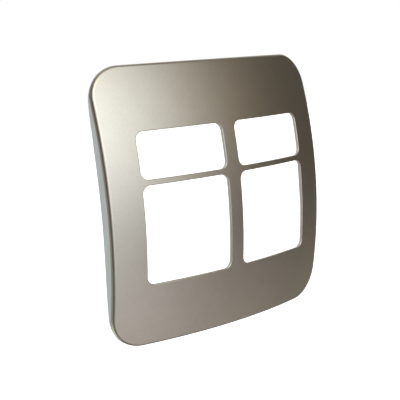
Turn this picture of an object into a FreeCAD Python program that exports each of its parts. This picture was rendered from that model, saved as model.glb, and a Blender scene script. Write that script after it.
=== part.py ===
import FreeCAD, Part
import math
import os
from FreeCAD import Vector

# Cover plate for a two-column grid of switch modules: a domed metal panel over a moulded carrier frame.
# Millimetres. X runs right, Z up, and the wall is the plane y = 0, with the plate in front of it towards -Y.

# Outline and dome
plate_width = 121.0
plate_height = 121.0
corner_radius = 14.5
crown_depth = 19.0          # from the wall to the crown of the face
corner_depth = 3.0          # from the wall to the face at the corners

# Front panel
panel_wall = 1.5
flange_depth = 2.4          # of the turned edge, measured from the face
edge_round = 1.5
window_edge_break = 0.3

# Windows, two columns of one low and one tall opening
window_width = 42.2
low_window_height = 20.2
tall_window_height = 42.6
window_corner_radius = 3.5
centre_bar = 7.2
cross_bar = 2.4

# Carrier frame
fit_clearance = 0.15        # between the panel's flange and the tongue inside it
parting_gap = 0.1           # shadow line under the flange
tongue_wall = 1.5
skirt_step = 0.35           # how far the skirt stands in from the panel, at the flange
skirt_lean = 0.18           # how far it leans in towards the wall, per height
skirt_foot = 0.6            # least height of the skirt, where the face comes closest to the wall
skin_wall = 1.2             # of the skin that backs the panel
ring_margin = 5.5           # from the windows to the ring round them
ring_wall = 1.5
ring_end = 7.0              # clearance from the ring's rear edge to the wall
rib_wall = 1.2
rib_end = 3.5               # clearance from a rib's rear edge to the wall
rib_spacing = 34.0          # of the two ribs on each side
lug_width = 8.0
lug_wall = 1.8
lug_spacing = 49.4          # between the lugs along the top and bottom
lug_nose = 1.1
lug_nose_height = 2.4
lug_end = 1.0               # clearance from the lug's tip to the wall

window_group_width = 2 * window_width + centre_bar
window_group_height = low_window_height + cross_bar + tall_window_height
corner_cut = corner_radius * (1 - 0.5 ** 0.5)     # from the square corner to its arc, along either side
corner_reach = math.hypot(plate_width / 2 - corner_cut, plate_height / 2 - corner_cut)
face_rise = crown_depth - corner_depth
face_radius = (corner_reach ** 2 + face_rise ** 2) / (2 * face_rise)     # the face is part of a sphere
face_centre = Vector(0, face_radius - crown_depth, 0)
space = 2 * crown_depth     # length that reaches through the whole plate
tolerance = 0.001


def rounded_face(width, height, radius, y, centre_x=0.0, centre_z=0.0):
    half_width = width / 2
    half_height = height / 2
    cut = radius * (1 - 0.5 ** 0.5)
    edges = []
    for sign_x, sign_z in ((1, 1), (-1, 1), (-1, -1), (1, -1)):
        side = Vector(centre_x + sign_x * half_width, y, centre_z + sign_z * (half_height - radius))
        middle = Vector(centre_x + sign_x * (half_width - cut), y, centre_z + sign_z * (half_height - cut))
        end = Vector(centre_x + sign_x * (half_width - radius), y, centre_z + sign_z * half_height)
        ends = (side, end) if sign_x * sign_z > 0 else (end, side)
        if edges:
            edges.append(Part.makeLine(edges[-1].lastVertex().Point, ends[0]))
        edges.append(Part.Arc(ends[0], middle, ends[1]).toShape())
    edges.append(Part.makeLine(edges[-1].lastVertex().Point, edges[0].firstVertex().Point))
    return Part.Face(Part.Wire(edges))


def plate_face(inset, y):
    return rounded_face(plate_width - 2 * inset, plate_height - 2 * inset, corner_radius - inset, y)


def in_front_of(y, inset=0.0):
    # Everything from y towards the room, inside the plate's outline.
    return plate_face(inset, y).extrude(Vector(0, -space, 0))


def foot(height):
    # A low slab on the wall, for the corners, where the face comes closest to it.
    return plate_face(0.0, 0.0).extrude(Vector(0, -height, 0))


def dome(offset):
    # The solid behind the face, or behind a face that lies that far under it.
    return Part.makeSphere(face_radius - offset, face_centre)


def dome_depth(offset, reach):
    # From the wall to such a face, at that distance from the crown.
    return math.sqrt((face_radius - offset) ** 2 - reach ** 2) - face_centre.y


def middle_of(edge):
    return edge.valueAt((edge.FirstParameter + edge.LastParameter) / 2)


def on_dome(edge):
    points = [vertex.Point for vertex in edge.Vertexes] + [middle_of(edge)]
    return all(abs((point - face_centre).Length - face_radius) < tolerance for point in points)


def window_prisms():
    prisms = []
    group_top = window_group_height / 2
    low_centre = group_top - low_window_height / 2
    tall_centre = tall_window_height / 2 - group_top
    for side in (-1, 1):
        centre_x = side * (centre_bar + window_width) / 2
        for height, centre_z in ((low_window_height, low_centre), (tall_window_height, tall_centre)):
            face = rounded_face(window_width, height, window_corner_radius, 0.0, centre_x, centre_z)
            prisms.append(face.extrude(Vector(0, -space, 0)))
    return prisms


def ring_prism(inset):
    width = window_group_width + 2 * (ring_margin + ring_wall - inset)
    height = window_group_height + 2 * (ring_margin + ring_wall - inset)
    radius = window_corner_radius + ring_margin + ring_wall - inset
    return rounded_face(width, height, radius, 0.0).extrude(Vector(0, -space, 0))


def front_panel():
    outside = in_front_of(0.0).common(dome(0.0))
    rim = [edge for edge in outside.Edges if on_dome(edge)]
    outside = outside.makeFillet(edge_round, rim)
    inside = in_front_of(0.0, panel_wall).common(dome(panel_wall))
    panel = outside.cut(inside).cut(dome(flange_depth).fuse(foot(skirt_foot)))
    panel = panel.cut(window_prisms())
    group = ring_prism(ring_wall)
    window_edges = [edge for edge in panel.Edges if on_dome(edge) and group.isInside(middle_of(edge), 0.0, True)]
    return panel.makeChamfer(window_edge_break, window_edges)


def corner_turn(reach, radius, bow):
    # Angle by which a corner's arc runs on into a side that bows in between two corners.
    side_radius = (reach ** 2 + (radius - bow) ** 2 - radius ** 2) / (2 * bow)
    return math.asin(reach / (side_radius + radius))


def skirt_outline(inset, y):
    # The plate's outline, drawn in along each side because the skirt leans in more where it is taller.
    radius = corner_radius - inset
    reach_x = plate_width / 2 - corner_radius
    reach_z = plate_height / 2 - corner_radius
    bow_x = skirt_lean * dome_depth(flange_depth, plate_width / 2)
    bow_z = skirt_lean * dome_depth(flange_depth, plate_height / 2)
    angles = (-corner_turn(reach_z, radius, bow_x), math.pi / 4, math.pi / 2 + corner_turn(reach_x, radius, bow_z))
    corners = []
    for sign_x, sign_z in ((1, 1), (-1, 1), (-1, -1), (1, -1)):
        points = [Vector(sign_x * (reach_x + radius * math.cos(angle)), y,
                         sign_z * (reach_z + radius * math.sin(angle))) for angle in angles]
        corners.append(points if sign_x * sign_z > 0 else points[::-1])
    side = reach_x + radius - bow_x
    top = reach_z + radius - bow_z
    middles = [Vector(0, y, top), Vector(-side, y, 0), Vector(0, y, -top), Vector(side, y, 0)]
    edges = []
    for corner, following, middle in zip(corners, corners[1:] + corners[:1], middles):
        edges.append(Part.Arc(*corner).toShape())
        edges.append(Part.Arc(corner[-1], middle, following[0]).toShape())
    return Part.Wire(edges)


def skirt():
    # Fills the space from the panel's flange to the wall.
    rear = skirt_outline(skirt_step, 0.0)
    front = skirt_outline(skirt_step - skirt_lean * space, -space)
    body = Part.makeLoft([rear, front], True, True)
    return body.common(dome(flange_depth + parting_gap).fuse(foot(skirt_foot - parting_gap)))


def tongue():
    return in_front_of(0.0, panel_wall + fit_clearance).common(dome(panel_wall))


def inner_hollow():
    return in_front_of(0.0, panel_wall + fit_clearance + tongue_wall)


def skin():
    return inner_hollow().common(dome(panel_wall)).cut(dome(panel_wall + skin_wall)).cut(ring_prism(0.0))


def ring():
    band = ring_prism(0.0).cut(ring_prism(ring_wall))
    return band.common(dome(panel_wall)).common(in_front_of(-ring_end))


def ribs():
    # Two on each side, from the ring to the skirt.
    bars = []
    for offset in (-rib_spacing / 2, rib_spacing / 2):
        upright_corner = Vector(offset - rib_wall / 2, -space, -plate_height / 2)
        level_corner = Vector(-plate_width / 2, -space, offset - rib_wall / 2)
        bars.append(Part.makeBox(rib_wall, space, plate_height, upright_corner))
        bars.append(Part.makeBox(plate_width, space, rib_wall, level_corner))
    grid = bars[0].fuse(bars[1:])
    return grid.common(inner_hollow()).common(dome(panel_wall)).common(in_front_of(-rib_end)).cut(ring_prism(0.0))


def lug(centre_x, side):
    # A snap lug on the ring's upper or lower run, with its nose towards the plate's edge.
    root = window_group_height / 2 + ring_margin
    nose_root = lug_end + lug_nose_height
    profile = [(root, -space), (root, -lug_end), (root + lug_wall / 2, -lug_end),
               (root + lug_wall + lug_nose, -lug_end - lug_nose), (root + lug_wall, -nose_root),
               (root + lug_wall, -space)]
    points = [Vector(centre_x - lug_width / 2, y, side * z) for z, y in profile]
    face = Part.Face(Part.makePolygon(points + points[:1]))
    return face.extrude(Vector(lug_width, 0, 0)).common(dome(panel_wall))


def lugs():
    return [lug(column * lug_spacing / 2, side) for column in (-1, 1) for side in (-1, 1)]


def carrier_frame():
    wall = skirt().fuse(tongue()).cut(inner_hollow())
    frame = wall.fuse([skin(), ring(), ribs()] + lugs())
    return frame.removeSplitter()


def write(name, shape):
    assert shape.isValid(), name
    assert len(shape.Solids) == 1, name
    shape.Solids[0].exportStep("parts/" + name + ".step")
    print(name, round(shape.Volume), "mm3")


os.makedirs("parts", exist_ok=True)
write("front_panel", front_panel())
write("carrier_frame", carrier_frame())
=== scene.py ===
import math
import bmesh
import bpy
from mathutils import Matrix, Vector
from mathutils.geometry import delaunay_2d_cdt


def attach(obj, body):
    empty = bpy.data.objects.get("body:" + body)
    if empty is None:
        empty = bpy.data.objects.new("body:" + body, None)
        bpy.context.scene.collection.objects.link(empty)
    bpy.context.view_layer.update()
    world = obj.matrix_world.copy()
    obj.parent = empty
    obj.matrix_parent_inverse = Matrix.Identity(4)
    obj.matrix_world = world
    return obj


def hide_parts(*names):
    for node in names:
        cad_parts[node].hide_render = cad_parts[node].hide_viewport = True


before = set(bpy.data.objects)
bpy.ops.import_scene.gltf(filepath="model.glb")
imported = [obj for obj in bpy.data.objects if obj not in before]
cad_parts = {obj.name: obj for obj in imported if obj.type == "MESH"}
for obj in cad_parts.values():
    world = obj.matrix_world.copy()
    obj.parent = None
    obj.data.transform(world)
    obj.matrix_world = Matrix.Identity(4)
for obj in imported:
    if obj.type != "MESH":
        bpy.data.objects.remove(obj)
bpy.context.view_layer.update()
mm = 0.001  # every size below is in millimetres, and Blender works in metres

# outline and dome of the plate, shared by both pieces
plate = {
    "width": 121.0,
    "height": 121.0,
    "cornerRadius": 14.5,
    "crownDepth": 19.0,   # wall to the crown of the face
    "cornerDepth": 3.0,   # wall to the face at the corners
    "flangeDepth": 2.4,   # turned edge of the panel
    "panelWall": 1.5,
    "skirtFoot": 0.6,     # least gap between flange and wall
    "spacing": 1.6,       # between mesh points
    "netMargin": 0.7,     # from the net on the dome to the edges of its sheet, in spacings
    "arcSteps": 20,       # round each corner of the outline
}


def linear(hexColour):
    # sRGB hex to the linear colour that the shaders take
    parts = [int(hexColour[i:i + 2], 16) / 255 for i in (0, 2, 4)]
    return [p / 12.92 if p <= 0.04045 else ((p + 0.055) / 1.055) ** 2.4 for p in parts] + [1.0]


def addNode(tree, kind, settings=None, inputs=None):
    # an input is a value, a socket to link from, or a node, which stands for its first output
    node = tree.nodes.new(kind)
    for name, value in (settings or {}).items():
        setattr(node, name, value)
    for name, value in (inputs or {}).items():
        if isinstance(value, bpy.types.Node):
            value = value.outputs[0]
        if isinstance(value, bpy.types.NodeSocket):
            tree.links.new(value, node.inputs[name])
        else:
            node.inputs[name].default_value = value
    return node


# dome: part of a sphere through the crown and the four corners
cornerCut = plate["cornerRadius"] * (1 - math.sqrt(0.5))
cornerReach = math.hypot(plate["width"] / 2 - cornerCut, plate["height"] / 2 - cornerCut)
faceRise = plate["crownDepth"] - plate["cornerDepth"]
faceRadius = (cornerReach ** 2 + faceRise ** 2) / (2 * faceRise)
faceCentre = Vector((0, faceRadius - plate["crownDepth"], 0))


def onDome(x, z, under):
    # point over (x, z) on the dome that lies that far under the face, and the way out of the dome there
    out = Vector((x, -math.sqrt((faceRadius - under) ** 2 - x * x - z * z), z))
    return faceCentre + out, out.normalized()


# an outline is a rounded rectangle: its centre, width, height and corner radius
def plateOutline(inset):
    return (0, 0), plate["width"] - 2 * inset, plate["height"] - 2 * inset, plate["cornerRadius"] - inset


def roundedLoop(outline, arcSteps):
    # points and outward directions along an outline, anticlockwise seen from the front
    centre, width, height, radius = outline
    loop = []
    halfX, halfZ = width / 2 - radius, height / 2 - radius
    corners = [(halfX, halfZ, 0), (-halfX, halfZ, 90), (-halfX, -halfZ, 180), (halfX, -halfZ, 270)]
    for i, (cx, cz, turn) in enumerate(corners):
        for k in range(arcSteps + 1):
            angle = math.radians(turn + 90 * k / arcSteps)
            out = Vector((math.cos(angle), math.sin(angle)))
            loop.append((Vector((centre[0] + cx, centre[1] + cz)) + out * radius, out))
        nx, nz = corners[(i + 1) % 4][:2]
        start, out = loop[-1]
        end = Vector((centre[0] + nx, centre[1] + nz)) + out * radius
        steps = max(1, round((end - start).length / plate["spacing"]))
        loop += [(start.lerp(end, k / steps), out) for k in range(1, steps)]
    return loop


def outsideBy(x, z, centre, width, height, radius):
    # signed distance to an outline, below zero inside it
    dx = abs(x - centre[0]) - width / 2 + radius
    dz = abs(z - centre[1]) - height / 2 + radius
    return math.hypot(max(dx, 0), max(dz, 0)) + min(max(dx, dz), 0) - radius


def bandFaces(base, count, rows):
    # quads between rings of points that lie one after the other
    quads = []
    for row in range(rows - 1):
        for k in range(count):
            a, b = base + row * count + k, base + row * count + (k + 1) % count
            quads.append([a, b, b + count, a + count])
    return quads


def addRings(rings, points, normals, faces):
    # joins rings to a band and returns its first and last ring, each as its first point and their count
    base, count = len(points), len(rings[0])
    for ring in rings:
        points += [point for point, normal in ring]
        normals += [normal for point, normal in ring]
    faces += bandFaces(base, count, len(rings))
    return (base, count), (base + (len(rings) - 1) * count, count)


def sheetFaces(loops, under, points, normals, outline, holes, flip):
    # fills the dome between an outer loop and the loops of its holes with a fine triangle net
    # outline and holes are what the loops run round
    flat = []
    edges = []
    owner = []
    for first, count in loops:
        base = len(flat)
        flat += [Vector((points[first + k].x, points[first + k].z)) for k in range(count)]
        owner += [first + k for k in range(count)]
        edges += [(base + k, base + (k + 1) % count) for k in range(count)]
    step = plate["spacing"]
    margin = plate["netMargin"] * step
    rowStep = step * math.sqrt(0.75)  # makes the net's triangles equal-sided
    rows = int(plate["height"] / rowStep) // 2 + 1
    columns = int(plate["width"] / step) // 2 + 1
    for row in range(-rows, rows + 1):
        for column in range(-columns, columns + 1):
            x, z = (column + 0.5 * (row % 2)) * step, row * rowStep
            tooNear = any(outsideBy(x, z, *hole) < margin for hole in holes)
            if tooNear or outsideBy(x, z, *outline) > -margin:
                continue
            owner.append(len(points))
            spot, up = onDome(x, z, under)
            points.append(spot)
            normals.append(-up if flip else up)
            flat.append(Vector((x, z)))
    insideOnly, tolerance = 1, 1e-6
    outerFace = list(range(loops[0][1]))
    triangles, sources = delaunay_2d_cdt(flat, edges, [outerFace], insideOnly, tolerance)[2:4]
    loopOf = [number for number, (first, count) in enumerate(loops) for k in range(count)]
    faces = []
    for triangle in triangles:
        source = [sources[i][0] for i in triangle]
        touched = {loopOf[i] if i < len(loopOf) else 0 for i in source}
        if len(touched) == 1 and touched != {0}:
            continue  # lies in a hole
        faces.append([owner[i] for i in source])
    return faces


def turnedOut(points, normals, faces):
    # the same faces, each wound so that it looks the way its points' normals do
    result = []
    for face in faces:
        start, following, last = points[face[0]], points[face[1]], points[face[-1]]
        across = (following - start).cross(last - start)
        wanted = sum((normals[i] for i in face), Vector())
        result.append(face if across.dot(wanted) > 0 else face[::-1])
    return result


def meshObject(name, points, faces, normals=None):
    mesh = bpy.data.meshes.new(name)
    mesh.from_pydata([point * mm for point in points], [], faces)
    mesh.validate()
    mesh.polygons.foreach_set("use_smooth", [True] * len(mesh.polygons))
    if normals:
        mesh.normals_split_custom_set_from_vertices(normals)
    piece = bpy.data.objects.new(name, mesh)
    bpy.context.scene.collection.objects.link(piece)
    return piece


print("front panel")
panel = {
    "edgeRound": 1.5,        # rolled rim between face and flange
    "flangeEdgeRound": 0.25,
    "flangeInnerFillet": 0.4,
    "windowEdgeRound": 0.35,
    "windowRearRound": 0.1,
    "windowWidth": 42.2,
    "lowHeight": 20.2,
    "tallHeight": 42.6,
    "windowCorner": 3.5,
    "centreBar": 7.2,
    "crossBar": 2.4,
    "windowArcSteps": 10,    # round each corner of a window
    "edgeSteps": 8,          # across the rolled rim
    "flangeSteps": 3,        # across each small round of the flange
    "windowEdgeSteps": 4,
    "windowRearSteps": 2,
}


def windowOutlines(grow):
    # a low window over a tall one on each side
    groupTop = (panel["lowHeight"] + panel["crossBar"] + panel["tallHeight"]) / 2
    lowCentre = groupTop - panel["lowHeight"] / 2
    tallCentre = panel["tallHeight"] / 2 - groupTop
    outlines = []
    for side in (-1, 1):
        x = side * (panel["centreBar"] + panel["windowWidth"]) / 2
        for z, height in ((lowCentre, panel["lowHeight"]), (tallCentre, panel["tallHeight"])):
            width = panel["windowWidth"] + 2 * grow
            outlines.append(((x, z), width, height + 2 * grow, panel["windowCorner"] + grow))
    return outlines


def bead(loop, inset, under, ball, first, last, steps, hollow=False, stopped=False):
    # rings of a ball rolled along a loop, from one surface that it touches to the other
    # first and last: ("side", 1) out of the loop, ("face", 1) out of the dome, -1 for the opposite way
    # stopped: the ball comes no nearer to the wall than the skirt's foot, as at the flange's corners
    stations = []
    for point, out in loop:
        spot = point - out * inset
        centre, up = onDome(spot.x, spot.y, under)
        low = -(plate["skirtFoot"] + ball)
        if stopped and centre.y > low:
            centre.y = low
            up = Vector((0, -1, 0))
        ways = {"side": Vector((out.x, 0, out.y)), "face": up}
        stations.append((centre, ways[first[0]] * first[1], ways[last[0]] * last[1]))
    rings = []
    for k in range(steps + 1):
        ring = []
        for centre, start, end in stations:
            way = start.slerp(end, k / steps)
            ring.append((centre + way * ball, -way if hollow else way))
        rings.append(ring)
    return rings


def buildPanel():
    wall, flange = plate["panelWall"], plate["flangeDepth"]
    rim, edge, fillet = panel["edgeRound"], panel["flangeEdgeRound"], panel["flangeInnerFillet"]
    front, rear, steps = panel["windowEdgeRound"], panel["windowRearRound"], panel["flangeSteps"]
    out, back = ("side", 1), ("side", -1)
    face, under = ("face", 1), ("face", -1)
    loop = roundedLoop(plateOutline(0), plate["arcSteps"])
    rings = bead(loop, rim, rim, rim, face, out, panel["edgeSteps"])
    rings += bead(loop, edge, flange - edge, edge, out, under, steps, stopped=True)
    rings += bead(loop, wall - edge, flange - edge, edge, under, back, steps, stopped=True)
    rings += bead(loop, wall + fillet, wall + fillet, fillet, out, face, steps, hollow=True)
    shells = [rings]
    for outline in windowOutlines(0):
        loop = [(point, -way) for point, way in roundedLoop(outline, panel["windowArcSteps"])]
        rings = bead(loop, front, front, front, face, out, panel["windowEdgeSteps"])
        rings += bead(loop, rear, wall - rear, rear, out, under, panel["windowRearSteps"])
        shells.append(rings)
    points = []
    normals = []
    faces = []
    frontLoops = []
    rearLoops = []
    cut = []  # 1 where a window's wall is bare metal
    for number, rings in enumerate(shells):
        first, last = addRings(rings, points, normals, faces)
        frontLoops.append(first)
        rearLoops.append(last)
        for row, ring in enumerate(rings):
            bare = number > 0 and row >= panel["windowEdgeSteps"]
            cut += [1.0 if bare else 0.0] * len(ring)
    frontSheet = plateOutline(rim), windowOutlines(front)
    rearSheet = plateOutline(wall + fillet), windowOutlines(rear)
    faces += sheetFaces(frontLoops, 0.0, points, normals, *frontSheet, False)
    faces += sheetFaces(rearLoops, wall, points, normals, *rearSheet, True)
    piece = meshObject("frontPanel", points, turnedOut(points, normals, faces), normals)
    cutEdge = piece.data.attributes.new("cutEdge", "FLOAT", "POINT")
    cutEdge.data.foreach_set("value", cut + [0.0] * (len(points) - len(cut)))
    return piece


frontPanel = buildPanel()
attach(frontPanel, "root")
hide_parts("front_panel")

print("carrier frame")
carrier = {
    "fitClearance": 0.15,    # between the flange and the tongue inside it
    "partingGap": 0.1,       # shadow line under the flange
    "tongueWall": 1.5,
    "skirtStep": 0.35,       # how far the skirt stands in from the flange
    "skirtLean": 0.18,       # how far it leans in towards the wall, per height
    "bowEase": 2,            # 1 is a plain bow of its rear edge, higher is fuller near the corners
    "skinWall": 1.2,
    "ringMargin": 5.5,       # from the windows to the ring round them
    "ringWall": 1.5,
    "ringEnd": 7.0,          # from the ring's rear edge to the wall
    "ringStand": 0.8,        # least height of the ring over the skin, at its corners
    "ribWall": 1.2,
    "ribEnd": 3.5,           # from a rib's rear edge to the wall
    "ribSpacing": 34.0,      # two ribs on each side
    "ribRunOut": 2.5,        # of the rear edge, next to the ring
    "ribBury": 0.5,          # how far a rib's ends reach into the ring and the skirt's inner wall
    "lugWidth": 8.0,
    "lugWall": 1.8,
    "lugSpacing": 49.4,      # two snap lugs above the windows and two below
    "lugNose": 1.1,
    "lugNoseHeight": 2.4,
    "lugEnd": 1.0,           # from a lug's tip to the wall
    "lugProud": 0.03,        # keeps a lug's inner face from coinciding with the ring's
    "edgeRound": 0.35,
    "rimRound": 0.25,        # of the rim on the wall
    "partingRound": 0.15,
    "tongueFillet": 0.03,    # between tongue and shelf, inside the parting gap
    "barRound": 0.15,        # of ribs and lugs
    "fillet": 0.3,           # between the skin and what stands on it
    "roundSteps": 3,         # across each round and fillet
    "barSpacing": 0.8,       # between the mesh points along a rib or lug
}
untrimmed = -2 * plate["crownDepth"]  # front of ribs and lugs before they are trimmed to the dome


def skirtBow(point):
    # how far the skirt bows in at that point of the outline, with the slope of the bow there:
    # under the flange, where it follows the dome, and at the wall, where it eases into the corners
    halves = plate["width"] / 2, plate["height"] / 2
    radius = plate["cornerRadius"]
    for across, along in ((0, 1), (1, 0)):
        straight = halves[along] - radius
        if abs(point[along]) < straight and abs(point[across]) > halves[across] - radius:
            deepest = -carrier["skirtLean"] * onDome(halves[across], 0, plate["flangeDepth"])[0].y
            rest = 1 - (point[along] / straight) ** 2
            bows = []
            for power in (1, carrier["bowEase"]):
                steepness = power * deepest * rest ** (power - 1)
                slope = Vector((0, 0))
                slope[along] = -2 * steepness * point[along] / straight ** 2
                bows.append((deepest * rest ** power, slope))
            return bows
    return [(0.0, Vector((0, 0)))] * 2


def roundedSection(corners):
    # corners: place outwards, place towards the wall and radius; the ends only give a direction
    # returns place, normal and number of the corner; what is solid lies on the left of the path
    steps = carrier["roundSteps"]
    section = []
    for number in range(1, len(corners) - 1):
        before, spot, after = (Vector(corner[:2]) for corner in corners[number - 1:number + 2])
        radius = corners[number][2]
        back, on = (before - spot).normalized(), (after - spot).normalized()
        half = back.angle(on) / 2
        middle = spot + (back + on).normalized() * (radius / math.sin(half))
        start = (spot + back * (radius / math.tan(half)) - middle).normalized()
        end = (spot + on * (radius / math.tan(half)) - middle).normalized()
        turn = 1 if back.cross(on) < 0 else -1
        for k in range(steps + 1):
            way = start.slerp(end, k / steps)
            section.append((middle + way * radius, way * turn, number))
    return section


def sweptSection(loop, sectionAt):
    # rings of points and normals round a loop, from the section at each of its stations
    # slopes: by the number of a corner, how much its normals turn along the loop
    stations = []
    for point, out in loop:
        section, slopes = sectionAt(point, out)
        station = []
        for spot, way, number in section:
            side = (out + slopes[number]).normalized() if number in slopes else out
            station.append((Vector((point.x + out.x * spot.x, spot.y, point.y + out.y * spot.x)),
                            Vector((side.x * way.x, way.y, side.y * way.x))))
        stations.append(station)
    return [list(ring) for ring in zip(*stations)]


def depthAt(point, out, inset, under):
    # y of the dome that far under the face, over a place that far inside a point of an outline
    return onDome(point.x - out.x * inset, point.y - out.y * inset, under)[0].y


def wallSection(point, out):
    # tongue, parting shelf, skirt, rear rim and inner wall at one station of the outline
    wall, step = plate["panelWall"], carrier["skirtStep"]
    tongue = wall + carrier["fitClearance"]
    inner = tongue + carrier["tongueWall"]
    shelfUnder = plate["flangeDepth"] + carrier["partingGap"]
    skinUnder = wall + carrier["skinWall"]
    foot = carrier["partingGap"] - plate["skirtFoot"]
    shelf = min(depthAt(point, out, step, shelfUnder), foot)
    shelfInner = min(depthAt(point, out, tongue, shelfUnder), foot)
    (flangeBow, flangeSlope), (rearBow, rearSlope) = skirtBow(point)
    corners = [
        (-inner, depthAt(point, out, inner, wall)),
        (-tongue, depthAt(point, out, tongue, wall), carrier["edgeRound"]),
        (-tongue, shelfInner, carrier["tongueFillet"]),
        (-step - flangeBow - carrier["skirtLean"] * shelf, shelf, carrier["partingRound"]),
        (-step - rearBow, 0.0, carrier["rimRound"]),
        (-inner, 0.0, carrier["edgeRound"]),
        (-inner, depthAt(point, out, inner, skinUnder), carrier["fillet"]),
        (-inner - 1, depthAt(point, out, inner + 1, skinUnder)),
    ]
    return roundedSection(corners), {3: flangeSlope, 4: rearSlope}  # the skirt's two edges


def ringSection(point, out):
    # the upright ring round the windows, from the skin to its free rear edge and back to the panel
    wall = carrier["ringWall"]
    skinUnder = plate["panelWall"] + carrier["skinWall"]
    rear = max(-carrier["ringEnd"], depthAt(point, out, 0, skinUnder) + carrier["ringStand"])
    corners = [
        (1, depthAt(point, out, -1, skinUnder)),
        (0, depthAt(point, out, 0, skinUnder), carrier["fillet"]),
        (0, rear, carrier["edgeRound"]),
        (-wall, rear, carrier["edgeRound"]),
        (-wall, depthAt(point, out, wall, plate["panelWall"]), carrier["partingRound"]),
        (1 - wall, depthAt(point, out, wall - 1, plate["panelWall"])),
    ]
    return roundedSection(corners), {}


def ringOutline(grow):
    # outside of the ring, grown by that much
    out = carrier["ringMargin"] + carrier["ringWall"] + grow
    width = 2 * panel["windowWidth"] + panel["centreBar"] + 2 * out
    height = panel["lowHeight"] + panel["crossBar"] + panel["tallHeight"] + 2 * out
    return (0, 0), width, height, panel["windowCorner"] + out


def buildShell():
    # skirt, tongue and ring, joined by the two sides of the skin
    points = []
    normals = []
    faces = []
    ends = []
    for outline, sectionAt in ((plateOutline(0), wallSection), (ringOutline(0), ringSection)):
        rings = sweptSection(roundedLoop(outline, plate["arcSteps"]), sectionAt)
        ends.append(addRings(rings, points, normals, faces))
    (tongueLoop, innerLoop), (ringRear, ringFront) = ends
    wall, skin, fillet = plate["panelWall"], carrier["skinWall"], carrier["fillet"]
    tongue = wall + carrier["fitClearance"]
    front = plateOutline(tongue + carrier["edgeRound"]), [ringOutline(-carrier["ringWall"])]
    rear = plateOutline(tongue + carrier["tongueWall"] + fillet), [ringOutline(fillet)]
    faces += sheetFaces([tongueLoop, ringFront], wall, points, normals, *front, False)
    faces += sheetFaces([innerLoop, ringRear], wall + skin, points, normals, *rear, True)
    return meshObject("carrierFrame", points, turnedOut(points, normals, faces), normals)


def bar(name, corners, place, sweep, runOut=0.0):
    # a rounded profile moved along a straight line, with both ends capped
    # place sets a corner's two sizes in space; the rear edge drops back over the run-out
    rounds = [spot for spot, way, number in roundedSection(corners)]
    profile = [Vector(place(*spot)) for spot in [corners[0]] + rounds + [corners[-1]]]
    way = Vector(sweep)
    steps = math.ceil(way.length / carrier["barSpacing"])
    points = []
    for k in range(steps + 1):
        drop = max(0, runOut - way.length * k / steps)
        shift = way * (k / steps) - Vector((0, drop, 0))
        points += [spot + shift for spot in profile]
    count = len(profile)
    caps = [list(range(count))[::-1], list(range(steps * count, len(points)))]
    piece = meshObject(name, points, bandFaces(0, count, steps + 1) + caps)
    shape = bmesh.new()
    shape.from_mesh(piece.data)
    bmesh.ops.recalc_face_normals(shape, faces=shape.faces)
    shape.to_mesh(piece.data)
    shape.free()
    piece.data.polygons.foreach_set("use_smooth", [False] * len(piece.data.polygons))
    return piece


def ribShape(name, length):
    half, rear, rounding = carrier["ribWall"] / 2, -carrier["ribEnd"], carrier["barRound"]
    corners = [(-half, untrimmed), (-half, rear, rounding), (half, rear, rounding), (half, untrimmed)]
    return bar(name, corners, lambda x, y: (x, y, 0), (0, 0, length), carrier["ribRunOut"])


def lugShape():
    # a tab along the ring with a sloped nose at its tip
    wall, nose, end = carrier["lugWall"], carrier["lugNose"], -carrier["lugEnd"]
    width, rounding = carrier["lugWidth"], carrier["barRound"]
    corners = [
        (0, untrimmed),
        (0, end, rounding),
        (wall / 2, end, rounding),
        (wall + nose, end - nose, rounding),
        (wall, end - carrier["lugNoseHeight"], rounding),
        (wall, untrimmed),
    ]
    return bar("lugShape", corners, lambda z, y: (-width / 2, y, z), (width, 0, 0))


def barRow(tree, shape, firstTurn, spacing, start):
    # four of one shape: two side by side on one side of the plate, pointing out, and two opposite
    # side is 0, 0, 1, 1 for the four, and centred is -0.5, 0.5, -0.5, 0.5
    index = addNode(tree, "GeometryNodeInputIndex")
    half = addNode(tree, "ShaderNodeMath", {"operation": "MULTIPLY"}, {0: index, 1: 0.5})
    side = addNode(tree, "ShaderNodeMath", {"operation": "FLOOR"}, {0: half})
    hand = addNode(tree, "ShaderNodeMath", {"operation": "SUBTRACT"}, {0: half, 1: side})
    centred = addNode(tree, "ShaderNodeMath", {"operation": "MULTIPLY_ADD"}, {0: hand, 1: 2.0, 2: -0.5})
    along = addNode(tree, "ShaderNodeMath", {"operation": "MULTIPLY"}, {0: centred, 1: spacing})
    angle = addNode(tree, "ShaderNodeMath", {"operation": "MULTIPLY_ADD"}, {
        0: side, 1: math.pi, 2: firstTurn})
    turned = addNode(tree, "ShaderNodeCombineXYZ", {}, {"Y": angle})
    shift = addNode(tree, "ShaderNodeCombineXYZ", {}, {"X": along, "Z": start})
    spots = addNode(tree, "GeometryNodePoints", {}, {"Count": 4})
    source = addNode(tree, "GeometryNodeObjectInfo", {}, {"Object": shape}).outputs["Geometry"]
    bars = {"Points": spots, "Instance": source, "Rotation": turned}
    placed = addNode(tree, "GeometryNodeInstanceOnPoints", {}, bars)
    return addNode(tree, "GeometryNodeTranslateInstances", {}, {0: placed, "Translation": shift})


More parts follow.
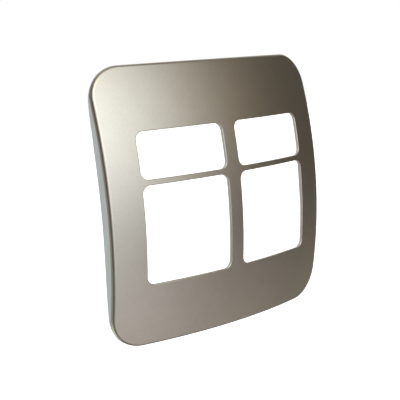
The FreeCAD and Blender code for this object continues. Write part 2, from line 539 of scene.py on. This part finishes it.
def ribsAndLugs(values):
    # sets ribs and lugs round the ring and lets their front ends follow the dome inside the skin
    tree = bpy.data.node_groups.new("ribsAndLugs", "GeometryNodeTree")
    kinds = {"Shell": "Geometry", "Material": "Material"}
    for name in ["Shell"] + list(values):
        kind = "Object" if "shape" in name else kinds.get(name, "Float")
        tree.interface.new_socket(name, in_out="INPUT", socket_type="NodeSocket" + kind)
    tree.interface.new_socket("Geometry", in_out="OUTPUT", socket_type="NodeSocketGeometry")
    given = addNode(tree, "NodeGroupInput").outputs
    joined = addNode(tree, "GeometryNodeJoinGeometry", {}, {0: given["Shell"]})
    for name, firstTurn in (("Upright rib", 0.0), ("Level rib", math.pi / 2), ("Lug", 0.0)):
        shape, spacing, start = (given[name + end] for end in (" shape", " spacing", " start"))
        row = barRow(tree, shape, firstTurn, spacing, start)
        tree.links.new(row.outputs[0], joined.inputs[0])
    solid = addNode(tree, "GeometryNodeRealizeInstances", {}, {0: joined})
    spot = addNode(tree, "GeometryNodeInputPosition")
    place = addNode(tree, "ShaderNodeSeparateXYZ", {}, {0: spot}).outputs
    crown = -plate["crownDepth"] * mm
    tooDeep = addNode(tree, "ShaderNodeMath", {"operation": "LESS_THAN"}, {0: place["Y"], 1: crown})
    # depth of the dome over a point: its centre less the square root of radius squared less reach squared
    flat = addNode(tree, "ShaderNodeCombineXYZ", {}, {"X": place["X"], "Z": place["Z"]})
    reach = addNode(tree, "ShaderNodeVectorMath", {"operation": "DOT_PRODUCT"}, {0: flat, 1: flat})
    radius = given["Dome radius"]
    square = addNode(tree, "ShaderNodeMath", {"operation": "MULTIPLY"}, {0: radius, 1: radius})
    rest = addNode(tree, "ShaderNodeMath", {"operation": "SUBTRACT"}, {0: square, 1: reach.outputs["Value"]})
    rise = addNode(tree, "ShaderNodeMath", {"operation": "SQRT"}, {0: rest})
    depth = addNode(tree, "ShaderNodeMath", {"operation": "SUBTRACT"}, {0: given["Dome centre"], 1: rise})
    onSkin = addNode(tree, "ShaderNodeCombineXYZ", {}, {"X": place["X"], "Y": depth, "Z": place["Z"]})
    trim = {"Geometry": solid, "Selection": tooDeep, "Position": onSkin}
    trimmed = addNode(tree, "GeometryNodeSetPosition", {}, trim)
    finished = addNode(tree, "GeometryNodeSetMaterial", {}, {0: trimmed, "Material": given["Material"]})
    addNode(tree, "NodeGroupOutput", {}, {0: finished})
    return tree


def buildCarrier(material):
    piece = buildShell()
    inner = plate["panelWall"] + carrier["fitClearance"] + carrier["tongueWall"] - carrier["ribBury"]
    ringWidth, ringHeight = ringOutline(-carrier["ribBury"])[1:3]
    lugStart = ringOutline(-carrier["ringWall"])[2] / 2 - carrier["lugProud"]
    domeRadius = faceRadius - plate["panelWall"] - carrier["skinWall"] / 2  # bars end half into the skin
    shapes = {
        "Upright rib shape": ribShape("uprightRib", (plate["height"] - ringHeight) / 2 - inner),
        "Level rib shape": ribShape("levelRib", (plate["width"] - ringWidth) / 2 - inner),
        "Lug shape": lugShape(),
    }
    values = {
        **shapes,
        "Material": material,
        "Upright rib spacing": carrier["ribSpacing"] * mm,
        "Upright rib start": ringHeight / 2 * mm,
        "Level rib spacing": carrier["ribSpacing"] * mm,
        "Level rib start": ringWidth / 2 * mm,
        "Lug spacing": carrier["lugSpacing"] * mm,
        "Lug start": lugStart * mm,
        "Dome radius": domeRadius * mm,
        "Dome centre": faceCentre.y * mm,
    }
    tree = ribsAndLugs(values)
    modifier = piece.modifiers.new("ribsAndLugs", "NODES")
    modifier.node_group = tree
    for socket in tree.interface.items_tree:
        if socket.name in values:
            modifier[socket.identifier] = values[socket.name]
    evaluated = piece.evaluated_get(bpy.context.evaluated_depsgraph_get())
    whole = bpy.data.meshes.new_from_object(evaluated)
    piece.modifiers.clear()
    piece.data = whole
    for shape in shapes.values():
        bpy.data.objects.remove(shape)
    return piece


print("materials")
panelFinish = {
    "colour": "c9bfab",
    "shade": "b5aa96",
    "roughness": 0.42,
    "roughnessSpread": 0.06,   # more and less than that, with the grain
    "grain": 0.55,             # bead-blasted pits are about 0.1 mm, drawn coarser so that they show
    "grainTone": 1.1,          # how far the grain takes the tone from shade to colour
    "toneShift": -0.3,         # towards the shade
    "sparkle": 0.16,           # the finest pits, seen from close by
    "mottle": 7.0,             # slow change of tone across the anodised skin
    "mottleTone": 0.4,
    "pitStrength": 0.15,
    "pitDepth": 0.02,
    "cutColour": "ded8cc",     # the punched walls of the windows are bare, brighter and rougher
    "cutRoughness": 0.86,
}


def emptyMaterial(name):
    # a new material and its tree, with no nodes yet
    material = bpy.data.materials.new(name)
    material.use_nodes = True
    material.node_tree.nodes.clear()
    return material, material.node_tree


# a Mix node's inputs 2 and 3 are its two numbers, 6 and 7 its two colours, and output 2 is the colour
def beadBlastedAnodisedAluminium():
    # a metal skin with tiny pits: broad, soft reflections that take on the room's light and dark,
    # with a fine sparkle
    material, tree = emptyMaterial("beadBlastedAnodisedAluminium")
    finish = panelFinish
    place = addNode(tree, "ShaderNodeTexCoord").outputs["Object"]
    grain = addNode(tree, "ShaderNodeTexNoise", {}, {
        "Vector": place, "Scale": 1 / (finish["grain"] * mm), "Detail": 2.0, "Roughness": 0.65})
    sparkle = addNode(tree, "ShaderNodeTexNoise", {}, {
        "Vector": place, "Scale": 1 / (finish["sparkle"] * mm), "Detail": 1.0})
    mottle = addNode(tree, "ShaderNodeTexNoise", {}, {
        "Vector": place, "Scale": 1 / (finish["mottle"] * mm), "Detail": 3.0, "Roughness": 0.55})
    fine = addNode(tree, "ShaderNodeMath", {"operation": "MULTIPLY_ADD"}, {
        0: grain, 1: finish["grainTone"], 2: finish["toneShift"]})
    tone = addNode(tree, "ShaderNodeMath", {"operation": "MULTIPLY_ADD"}, {
        0: mottle, 1: finish["mottleTone"], 2: fine})
    colour = addNode(tree, "ShaderNodeMix", {"data_type": "RGBA"}, {
        "Factor": tone, 6: linear(finish["shade"]), 7: linear(finish["colour"])}).outputs[2]
    rough = addNode(tree, "ShaderNodeMapRange", {}, {
        "Value": grain,
        "To Min": finish["roughness"] - finish["roughnessSpread"],
        "To Max": finish["roughness"] + finish["roughnessSpread"]})
    pits = addNode(tree, "ShaderNodeMath", {"operation": "ADD"}, {0: grain, 1: sparkle})
    bump = addNode(tree, "ShaderNodeBump", {}, {
        "Height": pits, "Strength": finish["pitStrength"], "Distance": finish["pitDepth"] * mm})
    cut = addNode(tree, "ShaderNodeAttribute", {"attribute_name": "cutEdge"}).outputs["Fac"]
    bothColours = addNode(tree, "ShaderNodeMix", {"data_type": "RGBA"}, {
        "Factor": cut, 6: colour, 7: linear(finish["cutColour"])}).outputs[2]
    bothRough = addNode(tree, "ShaderNodeMix", {}, {"Factor": cut, 2: rough, 3: finish["cutRoughness"]})
    shader = addNode(tree, "ShaderNodeBsdfPrincipled", {}, {
        "Base Color": bothColours, "Metallic": 1.0, "Roughness": bothRough, "Normal": bump})
    addNode(tree, "ShaderNodeOutputMaterial", {}, {"Surface": shader})
    return material


carrierFinish = {
    "colour": "d9dad4",
    "shade": "cecfc9",
    "roughness": 0.5,
    "roughnessSpread": 0.06,
    "texture": 0.35,           # spark-eroded mould texture, about 0.15 mm, drawn coarser so that it shows
    "textureStrength": 0.2,
    "textureDepth": 0.03,
    "flow": 14.0,              # slow change of tone from the way the plastic filled its mould
}


def mouldedGreyPolycarbonate():
    # cool light grey plastic from a finely spark-eroded mould: matte, even, with a faint sheen at low angles
    material, tree = emptyMaterial("mouldedGreyPolycarbonate")
    finish = carrierFinish
    place = addNode(tree, "ShaderNodeTexCoord").outputs["Object"]
    texture = addNode(tree, "ShaderNodeTexNoise", {}, {
        "Vector": place, "Scale": 1 / (finish["texture"] * mm), "Detail": 2.0})
    flow = addNode(tree, "ShaderNodeTexNoise", {}, {
        "Vector": place, "Scale": 1 / (finish["flow"] * mm), "Detail": 2.0})
    colour = addNode(tree, "ShaderNodeMix", {"data_type": "RGBA"}, {
        "Factor": flow, 6: linear(finish["shade"]), 7: linear(finish["colour"])}).outputs[2]
    rough = addNode(tree, "ShaderNodeMapRange", {}, {
        "Value": texture,
        "To Min": finish["roughness"] - finish["roughnessSpread"],
        "To Max": finish["roughness"] + finish["roughnessSpread"]})
    bump = addNode(tree, "ShaderNodeBump", {}, {
        "Height": texture, "Strength": finish["textureStrength"], "Distance": finish["textureDepth"] * mm})
    shader = addNode(tree, "ShaderNodeBsdfPrincipled", {}, {
        "Base Color": colour, "Roughness": rough, "Normal": bump})
    addNode(tree, "ShaderNodeOutputMaterial", {}, {"Surface": shader})
    return material


frontPanel.data.materials.append(beadBlastedAnodisedAluminium())
carrierFrame = buildCarrier(mouldedGreyPolycarbonate())
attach(carrierFrame, "root")
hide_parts("carrier_frame")

print("floor, lights and camera")
studio = {
    "floorDrop": 360.0,      # floor under the middle of the plate
    "floorSize": 12000.0,
    "floorColour": "fafafa",
    "floorRoughness": 0.9,
    "floorGlow": 0.9,        # lit from below like a light table, so that it keeps no shadow and no horizon
    "backdrop": "ffffff",
    "boxFalloff": 14.0,      # higher for smaller, harder soft boxes
}

half, level = studio["floorSize"] / 2, -studio["floorDrop"]
floorCorners = [Vector((x * half, y * half, level)) for x, y in ((-1, -1), (1, -1), (1, 1), (-1, 1))]
floor = meshObject("floor", floorCorners, [(0, 1, 2, 3)])
paper = bpy.data.materials.new("paleFloorPaper")
paper.use_nodes = True
paperInputs = paper.node_tree.nodes["Principled BSDF"].inputs
paperInputs["Base Color"].default_value = linear(studio["floorColour"])
paperInputs["Roughness"].default_value = studio["floorRoughness"]
paperInputs["Emission Color"].default_value = linear(studio["floorColour"])
paperInputs["Emission Strength"].default_value = studio["floorGlow"]
floor.data.materials.append(paper)
floor.visible_glossy = False
floor.visible_diffuse = False
floor.visible_shadow = False

# soft boxes round the plate: azimuth, elevation, and red, green and blue strength,
# chosen so that the plate's tones come out as in the photograph
softBoxes = {
    "keyFrontLeft": (-30, 15, (2.27, 2.58, 3.19)),
    "upperFrontLeft": (-30, 45, (2.14, 2.27, 2.38)),
    "lowFrontLeft": (-30, -15, (0.82, 0.86, 1.01)),
    "upperSideLeft": (-60, 45, (2.02, 1.96, 1.65)),
    "front": (0, 15, (1.92, 2.25, 2.70)),
    "lowFront": (0, -45, (1.04, 1.04, 1.21)),
    "frontRight": (30, 15, (0.26, 0.14, 0.00)),
    "lowRight": (60, -45, (0.53, 0.50, 0.52)),
    "lowBackLeft": (-150, -45, (1.89, 2.05, 2.03)),
    "backRight": (120, -15, (0.95, 0.98, 0.83)),
    "back": (180, 0, (1.60, 1.60, 1.60)),
    "upperBack": (180, 45, (0.40, 0.40, 0.40)),
    "upperBackRight": (150, 45, (0.64, 0.64, 0.64)),
    "upperSideRight": (120, 45, (0.80, 0.80, 0.80)),
}


def directionOf(azimuth, elevation):
    # azimuth 0 is the front of the plate and 90 its right side
    az, el = math.radians(azimuth), math.radians(elevation)
    return Vector((math.sin(az) * math.cos(el), -math.cos(az) * math.cos(el), math.sin(el)))


def studioWorld():
    # each soft box glows from its own direction and fades out round it; the backdrop is plain white
    world = bpy.data.worlds.new("studio")
    bpy.context.scene.world = world
    world.use_nodes = True
    tree = world.node_tree
    tree.nodes.clear()
    way = addNode(tree, "ShaderNodeTexCoord").outputs["Generated"]
    falloff = studio["boxFalloff"]
    total = (0, 0, 0)
    for azimuth, elevation, strength in softBoxes.values():
        near = addNode(tree, "ShaderNodeVectorMath", {"operation": "DOT_PRODUCT"}, {
            0: way, 1: directionOf(azimuth, elevation)}).outputs["Value"]
        fall = addNode(tree, "ShaderNodeMath", {"operation": "MULTIPLY_ADD"}, {
            0: near, 1: falloff, 2: -falloff})
        glow = addNode(tree, "ShaderNodeMath", {"operation": "EXPONENT"}, {0: fall})
        total = addNode(tree, "ShaderNodeVectorMath", {"operation": "MULTIPLY_ADD"}, {
            0: glow, 1: strength, 2: total})
    lit = addNode(tree, "ShaderNodeBackground", {}, {"Color": total})
    white = addNode(tree, "ShaderNodeBackground", {}, {"Color": linear(studio["backdrop"])})
    seen = addNode(tree, "ShaderNodeLightPath").outputs["Is Camera Ray"]
    both = addNode(tree, "ShaderNodeMixShader", {}, {0: seen, 1: lit, 2: white})
    addNode(tree, "ShaderNodeOutputWorld", {}, {"Surface": both})


studioWorld()

# direction, roll, distance and target of the camera, found from the plate's outline in the photograph
view = {
    "azimuth": -37.853,
    "elevation": 8.514,
    "roll": -4.430,
    "distance": 393.55,
    "target": (-5.981, -0.144, -2.667),
    "focalLength": 860.7,    # in pixels of an image this wide
    "imageWidth": 400,
    "sensorWidth": 36,
    "nearest": 10.0,         # where the camera's view begins
}


def aim(azimuth, elevation, roll, distance, target):
    # world matrix of a camera that looks at the target from that side
    back = directionOf(azimuth, elevation)
    turn = math.radians(roll)
    sideways = Vector((0, 0, 1)).cross(back).normalized()
    upright = back.cross(sideways)
    right = sideways * math.cos(turn) + upright * math.sin(turn)
    up = upright * math.cos(turn) - sideways * math.sin(turn)
    matrix = Matrix((right, up, back)).transposed().to_4x4()
    matrix.translation = (Vector(target) + back * distance) * mm
    return matrix


cameraData = bpy.data.cameras.new("camera")
camera = bpy.data.objects.new("camera", cameraData)
bpy.context.scene.collection.objects.link(camera)
bpy.context.scene.camera = camera
cameraData.sensor_width = view["sensorWidth"]
cameraData.lens = view["focalLength"] * view["sensorWidth"] / view["imageWidth"]
cameraData.clip_start = view["nearest"] * mm
camera.matrix_world = aim(view["azimuth"], view["elevation"], view["roll"], view["distance"], view["target"])

bpy.context.scene.view_settings.view_transform = "Standard"
